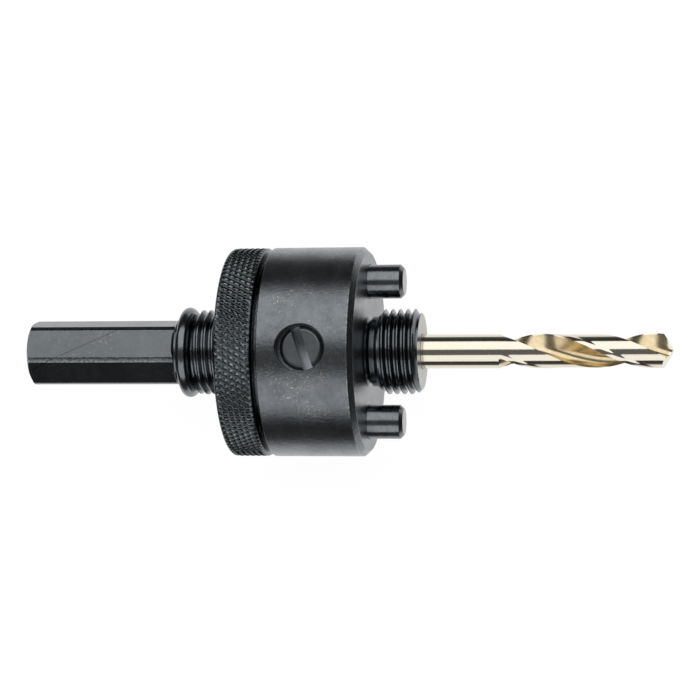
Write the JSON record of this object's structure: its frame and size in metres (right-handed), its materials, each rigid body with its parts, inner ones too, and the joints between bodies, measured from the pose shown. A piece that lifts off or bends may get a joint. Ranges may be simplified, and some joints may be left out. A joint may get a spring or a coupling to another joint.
{
  "type": "hole saw arbor",
  "caption": "Arbor for a hole saw: hexagon shank, threaded nose, barrel with drive pins that a knurled nut moves, set screw and pilot drill.",
  "frame": {"origin": "on the arbor's axis, in the plane of the barrel's front face and of the drive pin circle", "axes": "+X along the arbor's axis to the drill's tip, +Y through the first drive pin, +Z through the set screw"},
  "size_m": [0.121, 0.039, 0.039],
  "materials": {
    "black_steel": "turned steel, black oxide, satin",
    "black_spring_steel": "spring steel, black oxide, glossy",
    "black_pin_steel": "ground steel, black oxide, glossy",
    "black_screw_steel": "steel, black oxide, oiled",
    "drill_steel": "ground high speed steel, bright, straw tint in the flutes"
  },
  "bodies": {
    "arbor": {"arbor_body": "black_steel", "stop_ring": "black_spring_steel"},
    "pins": {"pin_plate": "black_steel", "drive_pin_1": "black_pin_steel", "drive_pin_2": "black_pin_steel"},
    "nut": {"knurled_nut": "black_steel", "plate_ring": "black_spring_steel"},
    "screw": {"set_screw": "black_screw_steel"},
    "drill": {"pilot_drill": "drill_steel"}
  },
  "joints": [
    {"name": "nut_turn", "type": "hinge", "parent": "pins", "child": "nut", "pos_m": [-0.0221, 0, 0], "axis": [1, 0, 0], "range_deg": [-1890.4, 0]},
    {"name": "pin_slide", "type": "slide", "parent": "arbor", "child": "pins", "axis": [1, 0, 0], "range_m": [-0.00741, 0]},
    {"name": "set_screw_turn", "type": "hinge", "parent": "arbor", "child": "screw", "pos_m": [-0.0096, 0, 0.0105], "axis": [0, 0, 1], "range_deg": [0, 720]},
    {"name": "drill_slide", "type": "slide", "parent": "arbor", "child": "drill", "axis": [1, 0, 0], "range_m": [0, 0.0299]}
  ],
  "couplings": [
    {"joint": "pin_slide", "follows": "nut_turn", "m_per_rad": 0.00022458}
  ]
}
